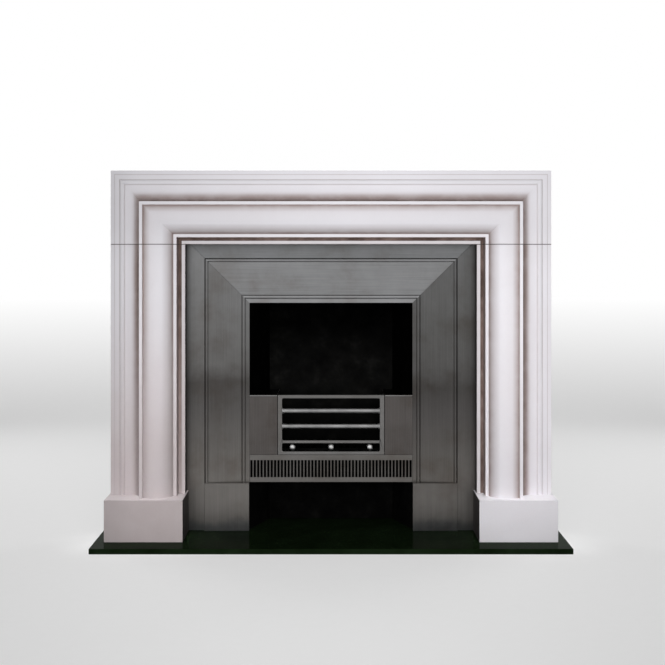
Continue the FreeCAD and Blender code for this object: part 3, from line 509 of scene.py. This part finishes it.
flange_low, flange_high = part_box("flue_spigot")
flange_thickness = 0.003
flange_centre = (flange_low + flange_high) / 2
rivet_circle = (flange_high.x - flange_low.x) / 2 - 0.0055
flange_seats = [(flange_centre.x + rivet_circle * math.cos(math.radians(angle)),
                 flange_centre.y + rivet_circle * math.sin(math.radians(angle)),
                 flange_low.z + flange_thickness) for angle in range(15, 375, 30)]
rivets("flange_rivets", flange_seats, 0.0, 0.0042, 0.0026)


# Fixing lugs: four cranked steel straps that hold the register front to the wall behind the jambs.
# Each is riveted to the back of a slip by two round heads and screwed to the wall through its outer end.
dress(["fixing_lugs"], forge_black, 0.0004)
lug_low, lug_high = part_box("fixing_lugs")
lug_thickness = 0.003
lug_half_height = 0.020
tab_middle = lug_high.x - 0.057
tab_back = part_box("slip_left")[1].y + lug_thickness
lug_middles = (lug_low.z + lug_half_height, lug_high.z - lug_half_height)
lug_seats = [(side * tab_middle, tab_back, middle + step)
             for side in (-1, 1) for middle in lug_middles for step in (-0.010, 0.010)]
rivets("lug_rivets", lug_seats, -90.0, 0.0045, 0.003)


# Studio: a pale floor that sweeps up into the backdrop, a broad lamp by the camera and two behind.
# Narrow lamps light the tops of header and foot blocks. The camera stands square to the fireplace, with the
# lens shifted down to keep the uprights upright.

def sweep(name, outline, half_length, material):
    """Sheet that follows an outline in Y and Z, to both sides."""
    mesh = bpy.data.meshes.new(name)
    points = [(side * half_length, y, z) for side in (-1, 1) for y, z in outline]
    count = len(outline)
    faces = [(index, count + index, count + index + 1, index + 1) for index in range(count - 1)]
    mesh.from_pydata(points, [], faces)
    mesh.materials.append(material)
    mesh.shade_smooth()
    sheet = bpy.data.objects.new(name, mesh)
    bpy.context.scene.collection.objects.link(sheet)


def rays_that_see(tree):
    """1 for the camera and for what mirrors or lets through the view."""
    path = add_node(tree, "ShaderNodeLightPath")
    mirrored = calculate(tree, "MAXIMUM", path.outputs["Is Glossy Ray"], path.outputs["Is Transmission Ray"])
    return calculate(tree, "MAXIMUM", path.outputs["Is Camera Ray"], mirrored)


def pale_paper():
    """Pale floor that turns to plain white up the backdrop and far from the object."""
    material, tree, shader, place = new_finish("pale_paper")
    seen = rays_that_see(tree)
    sheet = grey_ramp(tree, noise(tree, place, 30.0), [(0.3, 0.92), (0.7, 0.94)])
    set_input(tree, shader.inputs["Base Color"],
              mix(tree, 1.0, sheet, grey_ramp(tree, seen, [(0.0, 0.4), (1.0, 1.0)]), "MULTIPLY"))
    shader.inputs["Roughness"].default_value = 0.9
    white = add_node(tree, "ShaderNodeEmission", {"Strength": 1.0})
    away = add_node(tree, "ShaderNodeVectorMath", {0: place}, operation="LENGTH").outputs["Value"]
    far = grey_ramp(tree, calculate(tree, "DIVIDE", away, 8.0), [(0.4, 0.48), (0.65, 1.0)])
    high = grey_ramp(tree, coordinate(tree, place, "Z"), [(0.0, 0.48), (0.6, 1.0)])
    whiteness = calculate(tree, "MAXIMUM", high, far)
    share = calculate(tree, "MULTIPLY", whiteness, seen)
    mixed = add_node(tree, "ShaderNodeMixShader")
    for index, value in enumerate((share, shader.outputs["BSDF"], white.outputs["Emission"])):
        set_input(tree, mixed.inputs[index], value)
    set_input(tree, tree.nodes["Material Output"].inputs["Surface"], mixed.outputs[0])
    return material


bend = 1.5
bend_start = 2.5
floor_line = [(-14.0, -0.0005), (bend_start, -0.0005)]
turns = [math.radians(angle) for angle in range(5, 95, 5)]
curve_line = [(bend_start + bend * math.sin(turn), bend * (1 - math.cos(turn))) for turn in turns]
wall_line = [(bend_start + bend, 7.0)]
sweep("studio_floor", floor_line + curve_line + wall_line, 14.0, pale_paper())


def lamp(name, place, target, width, height, power, spread):
    """Soft rectangular lamp in metres, watts and degrees, which no metal mirrors."""
    light = bpy.data.lights.new(name, "AREA")
    light.spread = math.radians(spread)
    light.shape = "RECTANGLE"
    light.size = width
    light.size_y = height
    light.energy = power
    holder = bpy.data.objects.new(name, light)
    holder.location = place
    holder.visible_glossy = False
    toward = [b - a for a, b in zip(place, target)]
    holder.rotation_euler = Vector(toward).to_track_quat("-Z", "Y").to_euler()
    bpy.context.scene.collection.objects.link(holder)


lamp("key_lamp", (0.0, -3.0, 0.92), (0.0, 0.0, 1.0), width=1.4, height=1.0, power=16.8, spread=76.0)
lamp("top_lamp", (0.0, -0.042, 2.7), (0.0, -0.042, header_top),
     width=1.36, height=0.04, power=0.09, spread=3.0)
for word, side in (("left", -1), ("right", 1)):
    lamp(f"back_lamp_{word}", (side * 2.4, 2.2, 1.9), (0.0, 0.1, 0.6),
         width=1.4, height=1.4, power=15.0, spread=120.0)
    lamp(f"foot_lamp_{word}", (side * 0.57, -0.4, 1.9), (side * 0.57, -0.15, 0.143),
         width=0.3, height=0.1, power=0.14, spread=12.0)

world = bpy.data.worlds.new("studio")
bpy.context.scene.world = world
world.use_nodes = True
sky = world.node_tree
background = sky.nodes["Background"]
background.inputs["Color"].default_value = (1.0, 1.0, 1.0, 1.0)
set_input(sky, background.inputs["Strength"], grey_ramp(sky, rays_that_see(sky), [(0.0, 0.16), (1.0, 1.0)]))

image_side = 665.0
focal_pixels = 1265.0
vanishing_point = (331.0, 249.8)
camera = bpy.data.cameras.new("camera")
camera.sensor_width = 36.0
camera.lens = focal_pixels / image_side * camera.sensor_width
camera.shift_x = 0.5 - vanishing_point[0] / image_side
camera.shift_y = vanishing_point[1] / image_side - 0.5
stand = bpy.data.objects.new("camera", camera)
stand.location = (0.0, -4.02, 0.903)
stand.rotation_euler = (math.radians(90), 0.0, 0.0)
bpy.context.scene.collection.objects.link(stand)
bpy.context.scene.camera = stand
bpy.context.scene.view_settings.view_transform = "Standard"
